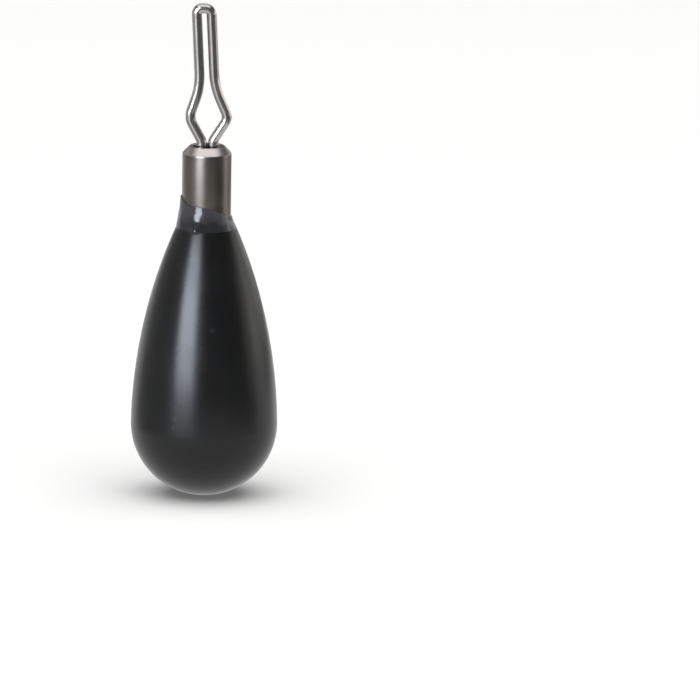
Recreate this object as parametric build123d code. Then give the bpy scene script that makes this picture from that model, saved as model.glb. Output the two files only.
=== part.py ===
from build123d import *
from math import cos, hypot, radians, tan
import os

# Drop-shot fishing sinker: a lacquered tungsten teardrop on a small swivel, hung from a bent-wire line clip.
# Millimetres, +Z up along the swivel's axis. The origin is the line's seat, at the top of the clip's slot.

# Line clip: heights are measured downwards from the seat, one after the other
wire_diameter = 0.6
slot_gap = 0.26             # between the two wires that pinch the line
slot_length = 4.38          # seat to the corner where the slot opens into the eye
eye_width = 1.7             # clear width across the eye's corners, before they are rounded
eye_upper = 1.85            # slot corner to eye corner
eye_lower = 1.37            # eye corner to the neck, where the legs come together
neck_stand = 0.28           # neck to the barrel's mouth
leg_gap = 0.08              # between the two legs in the barrel
pinch_bend = 4.5            # centre-line radii of the bends
eye_bend = 0.8
neck_bend = 0.5
foot_bend_inside = 0.1      # inside radius of the bend from leg to foot
foot_length = 0.27          # straight part of each foot

# Swivel bead, and the rocking that its slack allows
bead_height = 0.85
leg_clearance = 0.05        # round the legs and feet
bead_clearance = 0.06       # radial, in the barrel's bore
thrust_clearance = 0.03     # under the barrel's lip
rock_limit = 12             # degrees each way

# Swivel barrel
barrel_wall = 0.3
barrel_stand = 4.91         # neck rim of the weight to the barrel's mouth
barrel_seat = 2.4           # length bonded in the socket
barrel_end_round = 0.2
lip_thickness = 0.3
roll_inside = 0.18          # inside radius of the rolled lip, and the round of the bead that turns under it
lip_slope_share = 0.75      # of the lip's width, sloped on the outside where it was rolled in
lip_round_share = 0.25      # of the lip's width, round at both ends of the slope
lip_edge_share = 0.12       # of the lip's width, round at the mouth
bore_floor_round = 0.08
foot_clearance = 0.1        # feet to the bore
mouth_clearance = 0.14      # legs to the lip at the rocking limit
end_play = 0.25             # feet to the floor of the bore

# Adhesive
glue_film = 0.06
glue_floor = 0.2
collar_edge = 0.05          # thickness at the collar's upper edge
collar_high = 2.0           # height over the neck rim on the high side
collar_low = 0.6
collar_sag = 0.02           # hollow of the collar's flank

# Weight
body_diameter = 8.65
body_length = 16.07         # rounded base to neck rim
belly_angle = 1.2           # degrees over the ball's equator where the flank leaves it
neck_land = 0.28            # flat rim round the socket

# Worked out: the wire
wire_radius = wire_diameter / 2
slot_x = (slot_gap + wire_diameter) / 2
eye_x = (eye_width + wire_diameter) / 2
leg_x = (leg_gap + wire_diameter) / 2
foot_bend = wire_radius + foot_bend_inside
foot_x = leg_x + foot_bend + foot_length

# Worked out: levels from the seat down
top_bend_z = -slot_gap / 2
pinch_z = -slot_length
eye_z = pinch_z - eye_upper
neck_z = eye_z - eye_lower
mouth_z = neck_z - neck_stand
lip_z = mouth_z - lip_thickness
bead_top_z = lip_z - thrust_clearance
pivot_z = bead_top_z - bead_height
bore_floor_z = pivot_z - wire_radius - end_play
rim_z = mouth_z - barrel_stand
barrel_end_z = rim_z - barrel_seat
socket_floor_z = barrel_end_z - glue_floor
base_z = rim_z - body_length

# Worked out: radii from the legs outwards
rock = radians(rock_limit)
rocked_wire = wire_radius / cos(rock)
mouth_radius = hypot(leg_x, (mouth_z - pivot_z) * tan(rock)) + rocked_wire + mouth_clearance
bore_radius = hypot(foot_x, wire_radius) + foot_clearance
bead_radius = bore_radius - bead_clearance
barrel_radius = bore_radius + barrel_wall
socket_radius = barrel_radius + glue_film
neck_radius = socket_radius + neck_land
collar_radius = barrel_radius + collar_edge
leg_hole_radius = wire_radius + leg_clearance


def turned(*outline):
    return revolve(Plane.XZ * make_face(outline), Axis.Z)


# One bent wire: foot, leg, eye and slot on each side, joined by the tight bend over the seat
def make_line_clip():
    side = FilletPolyline(
        (foot_x, pivot_z),
        (leg_x, pivot_z),
        (leg_x, neck_z),
        (eye_x, eye_z),
        (slot_x, pinch_z),
        (slot_x, top_bend_z),
        radius=[foot_bend, neck_bend, eye_bend, pinch_bend],
    )
    top = ThreePointArc((slot_x, top_bend_z), (0, top_bend_z + slot_x), (-slot_x, top_bend_z))
    other_side = mirror(side, Plane.YZ)
    path = Wire((Plane.XZ * (side + top + other_side)).edges())
    end = Plane((foot_x, 0, pivot_z), z_dir=(-1, 0, 0)) * Circle(wire_radius)
    return sweep(end, path)


# The legs rock in the bead's window, and the feet turn in the groove across its underside
def make_swivel_bead():
    drum = extrude(Circle(bead_radius), bead_height)
    drum = fillet(drum.edges().filter_by(GeomType.CIRCLE), roll_inside)
    window_x = leg_x + leg_hole_radius
    window_y = bead_height * tan(rock) + rocked_wire + leg_clearance
    window = extrude(RectangleRounded(window_x * 2, window_y * 2, leg_hole_radius), bead_height)
    groove = Rot(0, 90, 0) * Cylinder(leg_hole_radius, bead_radius * 2)
    return Pos(0, 0, pivot_z) * (drum - window - groove)


# Turned barrel: a solid shank for the socket, a bore for the bead, and the lip rolled in over it
def make_swivel_barrel():
    lip_width = barrel_radius - mouth_radius
    lip_slope = lip_width * lip_slope_share
    lip_round = lip_width * lip_round_share
    lip_edge = lip_width * lip_edge_share
    outline = FilletPolyline(
        (0, barrel_end_z),
        (barrel_radius, barrel_end_z),
        (barrel_radius, mouth_z - lip_slope),
        (barrel_radius - lip_slope, mouth_z),
        (mouth_radius, mouth_z),
        (mouth_radius, lip_z),
        (bore_radius, lip_z),
        (bore_radius, bore_floor_z),
        (0, bore_floor_z),
        radius=[0, barrel_end_round, lip_round, lip_round, lip_edge, 0, roll_inside, bore_floor_round, 0],
        close=True,
    )
    return turned(*outline.edges())


# Adhesive: fills the socket round the barrel and climbs it, higher on the -X side
def make_glue_collar(barrel):
    collar_z = rim_z + collar_high
    flank = SagittaArc((neck_radius, rim_z), (collar_radius, collar_z), collar_sag)
    inside = Polyline(
        (collar_radius, collar_z),
        (0, collar_z),
        (0, socket_floor_z),
        (socket_radius, socket_floor_z),
        (socket_radius, rim_z),
        (neck_radius, rim_z),
    )
    slope = (collar_high - collar_low) / (collar_radius * 2)
    upper_edge = Plane((-collar_radius, 0, collar_z), z_dir=(slope, 0, 1))
    fill = split(turned(flank, *inside.edges()), upper_edge, Keep.BOTTOM)
    return fill - barrel


# Teardrop: a ball for the base, a long flank drawn in to the neck, and a blind socket
def make_weight_body():
    ball = JernArc((0, base_z), (1, 0), body_diameter / 2, 90 + belly_angle)
    flank = TangentArc(ball @ 1, (neck_radius, rim_z), tangent=ball % 1)
    socket = Polyline(
        (neck_radius, rim_z),
        (socket_radius, rim_z),
        (socket_radius, socket_floor_z),
        (0, socket_floor_z),
        (0, base_z),
    )
    return turned(ball, flank, *socket.edges())


swivel_barrel = make_swivel_barrel()
parts = {
    "line_clip": make_line_clip(),
    "swivel_bead": make_swivel_bead(),
    "swivel_barrel": swivel_barrel,
    "glue_collar": make_glue_collar(swivel_barrel),
    "weight_body": make_weight_body(),
}
os.makedirs("parts", exist_ok=True)
for node, shape in parts.items():
    export_step(shape, f"parts/{node}.step")
print(f"mouth level {mouth_z:.3f}, pivot level {pivot_z:.3f}, rim level {rim_z:.3f}, base level {base_z:.3f}")
print(f"barrel diameter {barrel_radius * 2:.3f}, mouth {mouth_radius * 2:.3f}, neck {neck_radius * 2:.3f}")
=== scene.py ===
import bpy
import bmesh
from math import atan2, ceil, cos, exp, hypot, pi, radians, sin, tan
from mathutils import Matrix, Quaternion, Vector, noise


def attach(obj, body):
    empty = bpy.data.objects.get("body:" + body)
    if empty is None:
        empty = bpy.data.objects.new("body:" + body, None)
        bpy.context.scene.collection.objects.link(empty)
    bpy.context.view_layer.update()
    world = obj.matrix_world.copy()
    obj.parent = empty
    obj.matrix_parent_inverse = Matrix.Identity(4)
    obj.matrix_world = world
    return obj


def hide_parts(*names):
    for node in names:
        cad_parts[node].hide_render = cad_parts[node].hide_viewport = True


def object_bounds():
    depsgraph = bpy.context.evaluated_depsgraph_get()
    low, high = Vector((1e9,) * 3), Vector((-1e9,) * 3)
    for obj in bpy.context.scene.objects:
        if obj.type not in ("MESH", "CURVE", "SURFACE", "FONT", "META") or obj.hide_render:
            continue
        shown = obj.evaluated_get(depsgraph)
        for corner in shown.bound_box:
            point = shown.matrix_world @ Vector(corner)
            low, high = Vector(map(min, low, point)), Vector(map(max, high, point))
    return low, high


# A drop-shot fishing sinker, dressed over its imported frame.
# Sizes in the dictionaries are in mm and angles in degrees; the meshes are in metres.
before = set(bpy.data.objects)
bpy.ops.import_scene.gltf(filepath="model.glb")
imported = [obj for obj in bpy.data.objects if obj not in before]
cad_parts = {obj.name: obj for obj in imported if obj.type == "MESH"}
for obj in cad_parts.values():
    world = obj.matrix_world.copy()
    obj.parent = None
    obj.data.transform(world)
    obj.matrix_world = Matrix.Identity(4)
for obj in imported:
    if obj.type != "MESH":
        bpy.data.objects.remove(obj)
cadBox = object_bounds()
mm = 0.001
tiny = 0.001                    # differences under this count as none
mergeReach = 0.0005             # vertices closer than this become one
sharpAngle = 40                 # edges that turn more than this stay crisp
noiseSpan = (0.3, 0.7)          # nearly all values of a noise pattern lie in here
print("frame loaded with nodes", sorted(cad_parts))


# sRGB hex to linear RGBA
def tint(hexCode):
    parts = [int(hexCode[i:i + 2], 16) / 255 for i in (0, 2, 4)]
    return [p / 12.92 if p <= 0.04045 else ((p + 0.055) / 1.055) ** 2.4 for p in parts] + [1]


# texture scale for a feature of this size
def featureScale(size):
    return 1 / (size * mm)


# a socket gets a link or a constant, by name, or by number where a node repeats its names:
# a Mix of colours has 0 for the share, 6 and 7 for the colours and output 2; a Mix of numbers has 0, 2 and 3
def addNode(tree, kind, sockets=None, **settings):
    node = tree.nodes.new(kind)
    for name, value in settings.items():
        setattr(node, name, value)
    for socket, value in (sockets or {}).items():
        if isinstance(value, bpy.types.NodeSocket):
            tree.links.new(value, node.inputs[socket])
        else:
            node.inputs[socket].default_value = value
    return node


def startFinish(name):
    material = bpy.data.materials.new(name)
    material.use_nodes = True
    return material, material.node_tree, material.node_tree.nodes["Principled BSDF"]


# profiles are drawn in the XZ plane, from point to point
def lineTo(bm, tip, x, z):
    tip = bmesh.ops.extrude_vert_indiv(bm, verts=[tip])["verts"][0]
    tip.co = (x * mm, 0, z * mm)
    return tip


# round a centre, from +X towards +Z where the angle is positive
def arcRound(bm, tip, x, z, angle, steps):
    centre = (x * mm, 0, z * mm)
    spun = bmesh.ops.spin(bm, geom=[tip], cent=centre, axis=(0, -1, 0), angle=angle, steps=steps)
    return spun["geom_last"][0]


def spinProfile(bm, steps):
    profile = bm.verts[:] + bm.edges[:]
    bmesh.ops.spin(bm, geom=profile, cent=(0, 0, 0), axis=(0, 0, 1), angle=2 * pi, steps=steps,
                   use_merge=True)
    bmesh.ops.remove_doubles(bm, verts=bm.verts, dist=mergeReach * mm)
    bmesh.ops.recalc_face_normals(bm, faces=bm.faces)


# rounds the circular edge at this radius and height
def roundRing(bm, radius, z, size, segments):
    def onRing(v):
        return max(abs(hypot(v.co.x, v.co.y) - radius * mm), abs(v.co.z - z * mm)) < tiny * mm
    ring = [e for e in bm.edges if all(onRing(v) for v in e.verts)]
    bmesh.ops.bevel(bm, geom=ring, offset=size * mm, offset_type="OFFSET", segments=segments, profile=0.5,
                    affect="EDGES", material=-1)


def finishPiece(bm, name, material, body, node):
    mesh = bpy.data.meshes.new(name)
    for face in bm.faces:
        face.smooth = True
    bm.to_mesh(mesh)
    bm.free()
    mesh.set_sharp_from_angle(angle=radians(sharpAngle))
    mesh.materials.append(material)
    piece = bpy.data.objects.new(name, mesh)
    bpy.context.scene.collection.objects.link(piece)
    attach(piece, body)
    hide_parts(node)
    print(name, "made with", len(mesh.polygons), "faces")


# Camera
cameraSetup = {
    "elevation": 12,
    "roll": 0.75,               # the sinker leans a little to the right
    "distance": 900,
    "frameWidth": 41.3,         # what the picture spans at the swivel axis
    "aim": (8.565, 0, -20.08),
    "nearest": 10,              # what the camera can see starts and ends here
    "farthest": 5000,
}


def makeCamera(c):
    aim = Vector(c["aim"]) * mm
    tilt = radians(c["elevation"])
    back = Vector((0, -cos(tilt), sin(tilt)))
    data = bpy.data.cameras.new("camera")
    data.lens = data.sensor_width * c["distance"] / c["frameWidth"]
    data.clip_start = c["nearest"] * mm
    data.clip_end = c["farthest"] * mm
    camera = bpy.data.objects.new("camera", data)
    camera.location = aim + back * c["distance"] * mm
    turned = back.to_track_quat("Z", "Y") @ Quaternion((0, 0, 1), radians(c["roll"]))
    camera.rotation_euler = turned.to_euler()
    bpy.context.scene.collection.objects.link(camera)
    bpy.context.scene.camera = camera
    bpy.context.scene.view_settings.view_transform = "Standard"


makeCamera(cameraSetup)
print("camera placed")

# Weight: sintered tungsten slug under a black lacquer
weightBody = {
    "radius": 4.325,
    "rimZ": -12.79,
    "baseZ": -28.86,
    "neckRadius": 1.7936,
    "socketRadius": 1.5136,
    "socketZ": -15.39,
    "bellyAngle": 1.2,          # above the ball's equator, where the flank leaves it
    "around": 160,
    "ballSteps": 40,
    "flankSteps": 44,
    "black": "101011",
    "faded": "161718",
    "fadeSize": 3.5,
    "roughness": (0.24, 0.31),
    "ior": 1.38,
    "peelSize": 0.5,            # orange peel of the sprayed coat
    "peelDepth": 0.0015,
    "pitSpacing": 1.7,
    "pitRadius": 0.1,
    "pitDepth": 0.02,
    # specks that catch the light
    "chips": [(-1.75, -3.95, -24.09), (-1.67, -3.955, -23.49), (0.49, -3.536, -18.26)],
    "chipRadius": 0.2,
    "chipColour": "4A4E54",
    "chipGrain": 0.12,          # breaks up the outline of a speck
    "chipSpan": (0.4, 0.65),    # values of the grain from clean to chipped
}


# Stoved lacquer, sprayed: deep black with a soft gloss, a faint orange peel, and a few pits and specks
def lacquerFinish(p):
    material, tree, shader = startFinish("stoved black lacquer, sprayed")
    place = addNode(tree, "ShaderNodeTexCoord").outputs["Object"]
    fade = addNode(tree, "ShaderNodeTexNoise",
                   {"Vector": place, "Scale": featureScale(p["fadeSize"]), "Detail": 3}).outputs[0]
    colour = addNode(tree, "ShaderNodeMix",
                     {0: fade, 6: tint(p["black"]), 7: tint(p["faded"])}, data_type="RGBA")
    chips = None
    for spot in p["chips"]:
        away = addNode(tree, "ShaderNodeVectorMath", {0: place, 1: Vector(spot) * mm}, operation="DISTANCE")
        near = addNode(tree, "ShaderNodeMapRange", {
            "Value": away.outputs["Value"], "From Min": p["chipRadius"] * mm, "From Max": 0}).outputs[0]
        chips = near if chips is None else addNode(
            tree, "ShaderNodeMath", {0: chips, 1: near}, operation="MAXIMUM").outputs[0]
    grain = addNode(tree, "ShaderNodeTexNoise",
                    {"Vector": place, "Scale": featureScale(p["chipGrain"]), "Detail": 2})
    patch = addNode(tree, "ShaderNodeMapRange", {
        "Value": grain.outputs[0], "From Min": p["chipSpan"][0], "From Max": p["chipSpan"][1]})
    chipped = addNode(tree, "ShaderNodeMath",
                      {0: chips, 1: patch.outputs[0]}, operation="MULTIPLY").outputs[0]
    colour = addNode(tree, "ShaderNodeMix",
                     {0: chipped, 6: colour.outputs[2], 7: tint(p["chipColour"])}, data_type="RGBA")
    tree.links.new(colour.outputs[2], shader.inputs["Base Color"])
    rough = addNode(tree, "ShaderNodeMapRange", {
        "Value": fade, "From Min": noiseSpan[0], "From Max": noiseSpan[1],
        "To Min": p["roughness"][0], "To Max": p["roughness"][1]})
    tree.links.new(rough.outputs[0], shader.inputs["Roughness"])
    shader.inputs["IOR"].default_value = p["ior"]
    peel = addNode(tree, "ShaderNodeTexNoise",
                   {"Vector": place, "Scale": featureScale(p["peelSize"]), "Detail": 1})
    peelBump = addNode(tree, "ShaderNodeBump",
                       {"Height": peel.outputs[0], "Strength": 1, "Distance": p["peelDepth"] * mm})
    cells = addNode(tree, "ShaderNodeTexVoronoi", {"Vector": place, "Scale": featureScale(p["pitSpacing"])})
    pit = addNode(tree, "ShaderNodeMapRange", {
        "Value": cells.outputs["Distance"], "From Max": p["pitRadius"] / p["pitSpacing"]},
        interpolation_type="SMOOTHSTEP")
    pitBump = addNode(tree, "ShaderNodeBump", {
        "Height": pit.outputs[0], "Strength": 1, "Distance": p["pitDepth"] * mm,
        "Normal": peelBump.outputs[0]})
    tree.links.new(pitBump.outputs[0], shader.inputs["Normal"])
    return material


def makeWeightBody(p):
    bm = bmesh.new()
    tip = bmesh.ops.create_vert(bm, co=(0, 0, p["baseZ"] * mm))["vert"][0]
    centreZ = p["baseZ"] + p["radius"]
    belly = radians(p["bellyAngle"])
    tip = arcRound(bm, tip, 0, centreZ, pi / 2 + belly, p["ballSteps"])
    # the flank leaves the ball without a kink and ends at the neck's rim
    inward = Vector((-cos(belly), -sin(belly)))
    start = Vector((0, centreZ)) - inward * p["radius"]
    reach = Vector((p["neckRadius"], p["rimZ"])) - start
    flankRadius = reach.length_squared / (2 * reach.dot(inward))
    flankCentre = start + inward * flankRadius
    end = start + reach - flankCentre
    tip = arcRound(bm, tip, flankCentre.x, flankCentre.y, atan2(end.y, end.x) - belly, p["flankSteps"])
    tip = lineTo(bm, tip, p["socketRadius"], p["rimZ"])
    tip = lineTo(bm, tip, p["socketRadius"], p["socketZ"])
    lineTo(bm, tip, 0, p["socketZ"])
    spinProfile(bm, p["around"])
    finishPiece(bm, "lacqueredWeight", lacquerFinish(p), "weight", "weight_body")


makeWeightBody(weightBody)

# Swivel barrel: turned brass, plated, with the lip rolled in over the bore
swivelBarrel = {
    "radius": 1.4536,
    "mouthRadius": 0.869,
    "boreRadius": 1.1536,
    "mouthZ": -7.88,
    "lipZ": -8.18,
    "boreFloorZ": -9.61,
    "endZ": -15.19,
    "endRound": 0.2,
    "endSteps": 4,
    "lipSlope": 0.4384,         # sloped where the lip was rolled in
    "lipRound": 0.0605,         # tangent length at both ends of the slope
    "lipEdge": 0.0702,
    "lipSteps": 6,
    "rollInside": 0.18,
    "rollSteps": 5,
    "around": 128,
    "plating": "6A645E",
    "worn": "79736C",
    "burnished": "BDB5B2",      # the lip, rubbed bright by the rolling tool
    "wearSize": 0.9,
    "roughness": (0.3, 0.36),
    "burnishRoughness": 0.3,
    "grooves": 0.25,            # how far the turning marks draw a highlight out along the barrel
    "grooveTurn": 0.25,         # of a full turn, because the marks run round the barrel
    "ringSpacing": 0.07,        # turning marks, drawn coarser than the tool left them so that they show
    "ringDepth": 0.0006,
}


# Black nickel on turned brass: warm dark metal with a soft shine, brighter where the lip was rolled in
def platedFinish(p):
    material, tree, shader = startFinish("black nickel plating on turned brass")
    place = addNode(tree, "ShaderNodeTexCoord").outputs["Object"]
    wear = addNode(tree, "ShaderNodeTexNoise",
                   {"Vector": place, "Scale": featureScale(p["wearSize"]), "Detail": 4}).outputs[0]
    colour = addNode(tree, "ShaderNodeMix",
                     {0: wear, 6: tint(p["plating"]), 7: tint(p["worn"])}, data_type="RGBA")
    height = addNode(tree, "ShaderNodeSeparateXYZ", {0: place}).outputs["Z"]
    slopeZ = p["mouthZ"] - p["lipSlope"]
    rubbed = addNode(tree, "ShaderNodeMapRange", {
        "Value": height, "From Min": (slopeZ - p["lipRound"]) * mm,
        "From Max": (slopeZ + p["lipRound"]) * mm}, interpolation_type="SMOOTHSTEP").outputs[0]
    colour = addNode(tree, "ShaderNodeMix",
                     {0: rubbed, 6: colour.outputs[2], 7: tint(p["burnished"])}, data_type="RGBA")
    tree.links.new(colour.outputs[2], shader.inputs["Base Color"])
    shader.inputs["Metallic"].default_value = 1
    rough = addNode(tree, "ShaderNodeMapRange", {
        "Value": wear, "From Min": noiseSpan[0], "From Max": noiseSpan[1],
        "To Min": p["roughness"][0], "To Max": p["roughness"][1]})
    rough = addNode(tree, "ShaderNodeMix", {0: rubbed, 2: rough.outputs[0], 3: p["burnishRoughness"]})
    tree.links.new(rough.outputs[0], shader.inputs["Roughness"])
    turns = addNode(tree, "ShaderNodeMath",
                    {0: height, 1: featureScale(p["ringSpacing"])}, operation="MULTIPLY")
    rings = addNode(tree, "ShaderNodeTexNoise",
                    {"W": turns.outputs[0], "Scale": 1, "Detail": 2}, noise_dimensions="1D")
    bump = addNode(tree, "ShaderNodeBump",
                   {"Height": rings.outputs[0], "Strength": 1, "Distance": p["ringDepth"] * mm})
    tree.links.new(bump.outputs[0], shader.inputs["Normal"])
    shader.inputs["Anisotropic"].default_value = p["grooves"]
    shader.inputs["Anisotropic Rotation"].default_value = p["grooveTurn"]
    return material


def makeSwivelBarrel(p):
    bm = bmesh.new()
    tip = bmesh.ops.create_vert(bm, co=(0, 0, p["endZ"] * mm))["vert"][0]
    slopeZ = p["mouthZ"] - p["lipSlope"]
    slopeRadius = p["radius"] - p["lipSlope"]
    corners = [
        (p["radius"], p["endZ"]),
        (p["radius"], slopeZ),
        (slopeRadius, p["mouthZ"]),
        (p["mouthRadius"], p["mouthZ"]),
        (p["mouthRadius"], p["lipZ"]),
        (p["boreRadius"], p["lipZ"]),
        (p["boreRadius"], p["boreFloorZ"]),
        (0, p["boreFloorZ"]),
    ]
    for corner in corners:
        tip = lineTo(bm, tip, *corner)
    spinProfile(bm, p["around"])
    roundRing(bm, p["radius"], p["endZ"], p["endRound"], p["endSteps"])
    roundRing(bm, p["radius"], slopeZ, p["lipRound"], p["lipSteps"])
    roundRing(bm, slopeRadius, p["mouthZ"], p["lipRound"], p["lipSteps"])
    roundRing(bm, p["mouthRadius"], p["mouthZ"], p["lipEdge"], p["lipSteps"])
    roundRing(bm, p["boreRadius"], p["lipZ"], p["rollInside"], p["rollSteps"])
    finishPiece(bm, "swivelBarrel", platedFinish(p), "weight", "swivel_barrel")


makeSwivelBarrel(swivelBarrel)

# Adhesive: fills the socket round the barrel and climbs it, higher on one side
glueCollar = {
    "barrelRadius": 1.4576,
    "socketRadius": 1.5096,
    "neckRadius": 1.7936,
    "rimZ": -12.785,
    "floorZ": -15.38,
    "barrelEndZ": -15.195,
    "edgeThickness": 0.07,
    "edgeRound": 0.042,
    "edgeSteps": 4,
    "climb": [0.62, 0.75, 1.2, 1.65, 1.92, 1.52, 1.42, 1.02],        # height every 45 degrees round from +X
    "waves": [(7, 0.025, 2.1), (11, 0.02, 4.0), (19, 0.012, 1.3)],   # on the edge: count, height, start
    "sag": 0.02,
    "sagSteps": 24,
    "lumpSize": 0.6,
    "lump": 0.04,
    # turn, height, size, thickness, and how far it hangs down over the rim
    "runs": [(-72, 0.35, 0.3, 0.04, 0), (-110, 0.24, 0.3, 0.25, 0.15)],
    "around": 192,
    "thick": "2A2B2F",
    "thin": "46464A",
    "hidingDepth": 0.26,        # this much adhesive hides the metal
    "cloudSize": 0.6,
    "smokeSpan": (0.02, 0.25),  # values of the clouded thinness from thick to thin
    "roughness": 0.16,
    "ior": 1.45,
    "bubbleSpacing": 0.32,
    "bubbleRadius": 0.05,
    "bubbleDepth": 0.015,
    "rippleSize": 0.3,
    "rippleDepth": 0.012,
}


# Cured epoxy, squeezed out and wiped: wet black where it is thick, smoky where it thins out on the metal
def epoxyFinish(p):
    material, tree, shader = startFinish("smoked epoxy, squeezed out and cured")
    place = addNode(tree, "ShaderNodeTexCoord").outputs["Object"]
    cloud = addNode(tree, "ShaderNodeTexNoise",
                    {"Vector": place, "Scale": featureScale(p["cloudSize"]), "Detail": 3})
    thinness = addNode(tree, "ShaderNodeAttribute", attribute_name="thinness")
    smoke = addNode(tree, "ShaderNodeMath",
                    {0: thinness.outputs["Fac"], 1: cloud.outputs[0]}, operation="MULTIPLY")
    thin = addNode(tree, "ShaderNodeMapRange", {
        "Value": smoke.outputs[0], "From Min": p["smokeSpan"][0], "From Max": p["smokeSpan"][1]})
    colour = addNode(tree, "ShaderNodeMix",
                     {0: thin.outputs[0], 6: tint(p["thick"]), 7: tint(p["thin"])}, data_type="RGBA")
    tree.links.new(colour.outputs[2], shader.inputs["Base Color"])
    shader.inputs["Roughness"].default_value = p["roughness"]
    shader.inputs["IOR"].default_value = p["ior"]
    ripple = addNode(tree, "ShaderNodeTexNoise",
                     {"Vector": place, "Scale": featureScale(p["rippleSize"]), "Detail": 2})
    rippleBump = addNode(tree, "ShaderNodeBump",
                         {"Height": ripple.outputs[0], "Strength": 1, "Distance": p["rippleDepth"] * mm})
    cells = addNode(tree, "ShaderNodeTexVoronoi",
                    {"Vector": place, "Scale": featureScale(p["bubbleSpacing"])})
    bubble = addNode(tree, "ShaderNodeMapRange", {
        "Value": cells.outputs["Distance"], "From Max": p["bubbleRadius"] / p["bubbleSpacing"],
        "To Min": 1, "To Max": 0}, interpolation_type="SMOOTHSTEP")
    bubbleBump = addNode(tree, "ShaderNodeBump", {
        "Height": bubble.outputs[0], "Strength": 1, "Distance": p["bubbleDepth"] * mm,
        "Normal": rippleBump.outputs[0]})
    tree.links.new(bubbleBump.outputs[0], shader.inputs["Normal"])
    return material


# height of the edge over the rim
def climbAt(p, turn):
    steps = len(p["climb"])
    place = turn / (2 * pi) * steps % steps
    low, ease = int(place), (1 - cos(place % 1 * pi)) / 2
    height = p["climb"][low] * (1 - ease) + p["climb"][(low + 1) % steps] * ease
    return height + sum(size * sin(count * turn + start) for count, size, start in p["waves"])


# how far slow lumps and the runs stand out of the flank, and how far the runs hang down
def bulgeAt(p, place, radius, rise):
    push = p["lump"] * noise.noise(place / p["lumpSize"]) * sin(pi * min(1, rise))
    sink = 0
    for at, height, size, thickness, hang in p["runs"]:
        peak = Vector((cos(radians(at)) * radius, sin(radians(at)) * radius, p["rimZ"] + height))
        near = exp(-((place - peak).length / size) ** 2)
        push += thickness * near
        sink += hang * near
    return push, sink


def makeGlueCollar(p):
    bm = bmesh.new()
    tip = bmesh.ops.create_vert(bm, co=(0, 0, p["floorZ"] * mm))["vert"][0]
    tip = lineTo(bm, tip, p["socketRadius"], p["floorZ"])
    tip = lineTo(bm, tip, p["socketRadius"], p["rimZ"])
    tip = lineTo(bm, tip, p["neckRadius"], p["rimZ"])
    # hollow flank, from the rim up to the feathered edge on the barrel
    edgeRadius = p["barrelRadius"] + p["edgeThickness"]
    foot = Vector((p["neckRadius"], p["rimZ"]))
    high = max(p["climb"])
    top = Vector((edgeRadius, p["rimZ"] + high))
    chord = top - foot
    bow = (chord.length_squared / 4 + p["sag"] ** 2) / (2 * p["sag"])
    outward = Vector((chord.y, -chord.x)).normalized()
    centre = (foot + top) / 2 + outward * (bow - p["sag"])
    sweep = 2 * atan2(chord.length / 2, bow - p["sag"])
    tip = arcRound(bm, tip, centre.x, centre.y, -sweep, p["sagSteps"])
    tip = lineTo(bm, tip, p["barrelRadius"], p["rimZ"] + high)
    tip = lineTo(bm, tip, p["barrelRadius"], p["barrelEndZ"])
    lineTo(bm, tip, 0, p["barrelEndZ"])
    spinProfile(bm, p["around"])
    roundRing(bm, edgeRadius, p["rimZ"] + high, p["edgeRound"], p["edgeSteps"])
    # the edge climbs differently all the way round, and the flank bulges
    for v in bm.verts:
        rise = (v.co.z / mm - p["rimZ"]) / high
        radius = hypot(v.co.x, v.co.y) / mm
        if rise > tiny or radius > p["socketRadius"] + tiny:
            v.co.z = (p["rimZ"] + rise * climbAt(p, atan2(v.co.y, v.co.x))) * mm
            if radius > p["barrelRadius"] + tiny:
                push, sink = bulgeAt(p, v.co / mm, radius, rise)
                v.co.x *= 1 + push / radius
                v.co.y *= 1 + push / radius
                v.co.z -= sink * mm
    thinness = bm.verts.layers.float.new("thinness")
    for v in bm.verts:
        depth = hypot(v.co.x, v.co.y) / mm - p["barrelRadius"]
        v[thinness] = max(0, min(1, 1 - depth / p["hidingDepth"]))
    finishPiece(bm, "glueCollar", epoxyFinish(p), "weight", "glue_collar")


makeGlueCollar(glueCollar)

# Line clip: one spring wire, bent flat
lineClip = {
    "wire": 0.6,
    "slotX": 0.43,
    "eyeX": 1.15,
    "legX": 0.34,
    "footX": 1.01,
    "topBendZ": -0.13,
    "pinchZ": -4.38,
    "eyeZ": -6.23,
    "neckZ": -7.6,
    "mouthZ": -7.88,
    "pivotZ": -9.06,
    "topBend": 0.34,            # pressed a little square over the seat
    "pinchBend": 4.5,
    "eyeBend": 0.8,
    "neckBend": 0.5,
    "footBend": 0.4,
    "eyeShift": 0.07,           # the clip is bent by hand: its eye stands a little to the right
    "slotLean": -3.0,           # and its slot leans back to the left
    "endRound": 0.06,
    "endSteps": 3,
    "around": 32,
    "bendStep": 4,
    "plating": "BDBAB7",
    "dull": "A5A29E",
    "dullSize": 0.8,
    "roughness": (0.16, 0.26),
    "drawSize": 0.05,           # lines along the wire, coarser than the die left them so that they show
    "drawLength": 2.5,
    "drawDepth": 0.00015,
}


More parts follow.
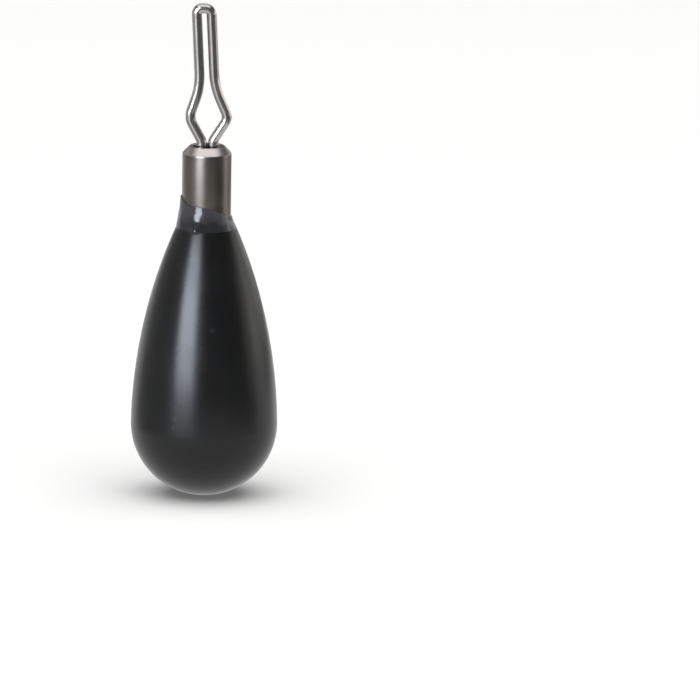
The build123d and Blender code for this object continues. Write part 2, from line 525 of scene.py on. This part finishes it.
# Black nickel on drawn spring steel: a grey mirror with fine lines along the wire
def wireFinish(p):
    material, tree, shader = startFinish("black nickel plating on drawn spring steel")
    place = addNode(tree, "ShaderNodeTexCoord").outputs["Object"]
    across = featureScale(p["drawSize"])
    stretched = addNode(tree, "ShaderNodeMapping",
                        {"Vector": place, "Scale": [across, across, featureScale(p["drawLength"])]})
    draw = addNode(tree, "ShaderNodeTexNoise",
                   {"Vector": stretched.outputs[0], "Scale": 1, "Detail": 2}).outputs[0]
    dull = addNode(tree, "ShaderNodeTexNoise",
                   {"Vector": place, "Scale": featureScale(p["dullSize"]), "Detail": 3})
    colour = addNode(tree, "ShaderNodeMix",
                     {0: dull.outputs[0], 6: tint(p["plating"]), 7: tint(p["dull"])}, data_type="RGBA")
    tree.links.new(colour.outputs[2], shader.inputs["Base Color"])
    shader.inputs["Metallic"].default_value = 1
    rough = addNode(tree, "ShaderNodeMapRange", {
        "Value": draw, "From Min": noiseSpan[0], "From Max": noiseSpan[1],
        "To Min": p["roughness"][0], "To Max": p["roughness"][1]})
    tree.links.new(rough.outputs[0], shader.inputs["Roughness"])
    bump = addNode(tree, "ShaderNodeBump", {"Height": draw, "Strength": 1, "Distance": p["drawDepth"] * mm})
    tree.links.new(bump.outputs[0], shader.inputs["Normal"])
    return material


# the vertices and the edges in what an operator gives back
def parted(geom):
    verts = [g for g in geom if isinstance(g, bmesh.types.BMVert)]
    return verts, [g for g in geom if isinstance(g, bmesh.types.BMEdge)]


def makeLineClip(p):
    bm = bmesh.new()
    # half the wire, from the top of the bend over the seat down to the foot
    topZ = p["topBendZ"] + p["slotX"]
    ring = bmesh.ops.create_circle(bm, segments=p["around"], radius=p["wire"] / 2 * mm)["verts"]
    bmesh.ops.rotate(bm, verts=ring, matrix=Matrix.Rotation(pi / 2, 3, "Y"))
    bmesh.ops.translate(bm, verts=ring, vec=(0, 0, topZ * mm))
    edges = bm.edges[:]
    at = Vector((0, topZ))
    corners = [
        (p["slotX"], topZ, p["topBend"]),
        (p["slotX"], p["pinchZ"], p["pinchBend"]),
        (p["eyeX"], p["eyeZ"], p["eyeBend"]),
        (p["legX"], p["neckZ"], p["neckBend"]),
        (p["legX"], p["pivotZ"], p["footBend"]),
        (p["footX"], p["pivotZ"], 0),
    ]
    for i, (x, z, bend) in enumerate(corners):
        corner = Vector((x, z))
        heading = (corner - at).normalized()
        leaving = (Vector(corners[i + 1][:2]) - corner).normalized() if bend else heading
        turn = leaving.angle_signed(heading) if bend else 0
        run = (corner - at).length - bend * tan(abs(turn) / 2)
        if run > tiny:
            ring, edges = parted(bmesh.ops.extrude_edge_only(bm, edges=edges)["geom"])
            edges = [e for e in edges if all(v in ring for v in e.verts)]
            bmesh.ops.translate(bm, verts=ring, vec=(heading.x * run * mm, 0, heading.y * run * mm))
            at += heading * run
        if bend:
            side = Vector((-heading.y, heading.x)) * (1 if turn > 0 else -1)
            centre = (at + side * bend) * mm
            steps = ceil(abs(turn) / radians(p["bendStep"]))
            spun = bmesh.ops.spin(bm, geom=ring + edges, cent=(centre.x, 0, centre.y), axis=(0, -1, 0),
                                  angle=turn, steps=steps)
            ring, edges = parted(spun["geom_last"])
            at = corner + leaving * bend * tan(abs(turn) / 2)
    bmesh.ops.contextual_create(bm, geom=edges)
    bmesh.ops.bevel(bm, geom=edges, offset=p["endRound"] * mm, offset_type="OFFSET", segments=p["endSteps"],
                    profile=0.5, affect="EDGES", material=-1)
    bmesh.ops.mirror(bm, geom=bm.verts[:] + bm.edges[:] + bm.faces[:], matrix=Matrix(),
                     merge_dist=mergeReach * mm, axis="X")
    bmesh.ops.remove_doubles(bm, verts=bm.verts, dist=mergeReach * mm)
    bmesh.ops.recalc_face_normals(bm, faces=bm.faces)
    for v in bm.verts:
        z = v.co.z / mm
        if z > p["eyeZ"]:
            v.co.x += (p["eyeShift"] + (z - p["eyeZ"]) * tan(radians(p["slotLean"]))) * mm
        elif z > p["mouthZ"]:
            v.co.x += p["eyeShift"] * (z - p["mouthZ"]) / (p["eyeZ"] - p["mouthZ"]) * mm
    finishPiece(bm, "lineClip", wireFinish(p), "clip", "line_clip")


makeLineClip(lineClip)

# Swivel bead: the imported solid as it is, in turned brass
swivelBead = {
    "brass": "B0935A",
    "dark": "7E6638",
    "toneSize": 0.5,
    "roughness": 0.3,
    "ringSpacing": 0.06,        # tool rings, drawn coarser than the tool left them so that they show
    "ringDepth": 0.0005,
}


# Turned brass, tumbled: warm yellow, satin, with faint tool rings
def brassFinish(p):
    material, tree, shader = startFinish("turned brass, tumbled")
    place = addNode(tree, "ShaderNodeTexCoord").outputs["Object"]
    tone = addNode(tree, "ShaderNodeTexNoise",
                   {"Vector": place, "Scale": featureScale(p["toneSize"]), "Detail": 3})
    colour = addNode(tree, "ShaderNodeMix",
                     {0: tone.outputs[0], 6: tint(p["brass"]), 7: tint(p["dark"])}, data_type="RGBA")
    tree.links.new(colour.outputs[2], shader.inputs["Base Color"])
    shader.inputs["Metallic"].default_value = 1
    shader.inputs["Roughness"].default_value = p["roughness"]
    height = addNode(tree, "ShaderNodeSeparateXYZ", {0: place}).outputs["Z"]
    turns = addNode(tree, "ShaderNodeMath",
                    {0: height, 1: featureScale(p["ringSpacing"])}, operation="MULTIPLY")
    rings = addNode(tree, "ShaderNodeTexNoise", {"W": turns.outputs[0], "Scale": 1}, noise_dimensions="1D")
    bump = addNode(tree, "ShaderNodeBump",
                   {"Height": rings.outputs[0], "Strength": 1, "Distance": p["ringDepth"] * mm})
    tree.links.new(bump.outputs[0], shader.inputs["Normal"])
    return material


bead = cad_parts["swivel_bead"]
bead.data.materials.clear()
bead.data.materials.append(brassFinish(swivelBead))
print("bead finished")

# Stage: white floor, grey cards on it outside the picture for the metal to reflect, and soft boxes
stageSetup = {
    "floorReach": 1500,
    "floorColour": "FAFAF9",
    "floorGlow": 0.1,           # share of plain white that the camera sees; reflections see it all white
    "roughness": 0.9,
    "cardLift": 0.2,
    "lightsRoundZ": -20,        # the soft boxes stand round this height on the swivel axis
    "world": "FFFFFF",
    "worldStrength": 0.14,
}
cards = {
    "leftGrey": {"colour": "B3B3B3", "outline": [(-20, 14), (-20, -18), (-500, -450), (-500, 350)]},
    "frontDark": {"colour": "5C5C5C",
                  "outline": [(-13, -62), (33, -62), (33, -1), (500, -17), (500, -500), (-106, -500)]},
    "rightGrey": {"colour": "A9A9A9", "outline": [(38, 18), (500, 233), (500, 500), (134, 500), (38, 142)]},
}
# azimuth round the object from the camera's side, positive to the right; radiance 1 is white
# the ceiling lights the floor and the object, and the others are what glossy surfaces reflect
softBoxes = {
    "ceiling": {"azimuth": 0, "elevation": 81, "distance": 700, "width": 1200, "height": 1200,
                "radiance": 2.05, "colour": "FFFFFF", "reflected": False},
    "topSheet": {"azimuth": 0, "elevation": 89, "distance": 600, "width": 840, "height": 840,
                 "radiance": 1.35, "colour": "FFFFFF", "reflected": True},
    "keyStrip": {"azimuth": -33, "elevation": 16, "distance": 600, "width": 330, "height": 340,
                 "radiance": 17, "colour": "E9F0FF", "reflected": True},
    "rightFront": {"azimuth": 86, "elevation": 8, "distance": 600, "width": 210, "height": 190,
                   "radiance": 0.95, "colour": "FBF8F0", "reflected": True},
    "rightStrip": {"azimuth": 104, "elevation": 8, "distance": 600, "width": 200, "height": 190,
                   "radiance": 2.0, "colour": "FBF8F0", "reflected": True},
    "rightBack": {"azimuth": 136, "elevation": 8, "distance": 600, "width": 500, "height": 190,
                  "radiance": 1.1, "colour": "FBF8F0", "reflected": True},
    "leftWall": {"azimuth": -105, "elevation": 15, "distance": 600, "width": 1200, "height": 500,
                 "radiance": 0.38, "colour": "FFFFFF", "reflected": True},
}


# a flat piece of the stage, facing up
def layFlat(name, outline, lift, material):
    bm = bmesh.new()
    bm.faces.new([bm.verts.new((x * mm, y * mm, cadBox[0].z + lift * mm)) for x, y in outline])
    bm.normal_update()
    if bm.faces[:][0].normal.z < 0:
        bmesh.ops.reverse_faces(bm, faces=bm.faces)
    mesh = bpy.data.meshes.new(name)
    bm.to_mesh(mesh)
    bm.free()
    mesh.materials.append(material)
    flat = bpy.data.objects.new(name, mesh)
    bpy.context.scene.collection.objects.link(flat)
    return flat


# Uncoated paper and card: an even tone with no shine
def mattFinish(name, colour):
    material, tree, shader = startFinish(name)
    shader.inputs["Base Color"].default_value = tint(colour)
    shader.inputs["Roughness"].default_value = stageSetup["roughness"]
    shader.inputs["Specular IOR Level"].default_value = 0
    return material, tree, shader


def makeFloor(s):
    material, tree, shader = mattFinish("white paper sweep", s["floorColour"])
    path = addNode(tree, "ShaderNodeLightPath").outputs
    mirrored = addNode(tree, "ShaderNodeMath",
                       {0: path["Is Glossy Ray"], 1: path["Is Transmission Ray"]}, operation="ADD")
    share = addNode(tree, "ShaderNodeMath",
                    {0: path["Is Camera Ray"], 1: s["floorGlow"], 2: mirrored.outputs[0]},
                    operation="MULTIPLY_ADD", use_clamp=True)
    glow = addNode(tree, "ShaderNodeEmission", {"Strength": 1})
    blend = addNode(tree, "ShaderNodeMixShader",
                    {0: share.outputs[0], 1: shader.outputs[0], 2: glow.outputs[0]})
    tree.links.new(blend.outputs[0], tree.nodes["Material Output"].inputs["Surface"])
    reach = s["floorReach"]
    layFlat("floor", [(-reach, -reach), (reach, -reach), (reach, reach), (-reach, reach)], 0, material)


def makeSoftBox(name, b):
    turn = radians(b["azimuth"])
    rise = radians(b["elevation"])
    out = Vector((sin(turn) * cos(rise), -cos(turn) * cos(rise), sin(rise)))
    data = bpy.data.lights.new(name, "AREA")
    data.shape = "RECTANGLE"
    data.size = b["width"] * mm
    data.size_y = b["height"] * mm
    data.energy = b["radiance"] * pi * data.size * data.size_y
    data.color = tint(b["colour"])[:3]
    light = bpy.data.objects.new(name, data)
    light.location = Vector((0, 0, stageSetup["lightsRoundZ"] * mm)) + out * b["distance"] * mm
    light.rotation_euler = out.to_track_quat("Z", "Y").to_euler()
    light.visible_camera = False
    light.visible_diffuse = not b["reflected"]
    light.visible_glossy = b["reflected"]
    bpy.context.scene.collection.objects.link(light)


def makeWorld(s):
    world = bpy.data.worlds.new("studio")
    world.use_nodes = True
    background = world.node_tree.nodes["Background"]
    background.inputs["Color"].default_value = tint(s["world"])
    background.inputs["Strength"].default_value = s["worldStrength"]
    bpy.context.scene.world = world


makeFloor(stageSetup)
for name, card in cards.items():
    grey = mattFinish("grey card", card["colour"])[0]
    laid = layFlat(name, card["outline"], stageSetup["cardLift"], grey)
    laid.visible_camera = laid.visible_diffuse = laid.visible_shadow = False
makeWorld(stageSetup)
for name, box in softBoxes.items():
    makeSoftBox(name, box)
print("stage set with", len(cards), "cards and", len(softBoxes), "soft boxes")
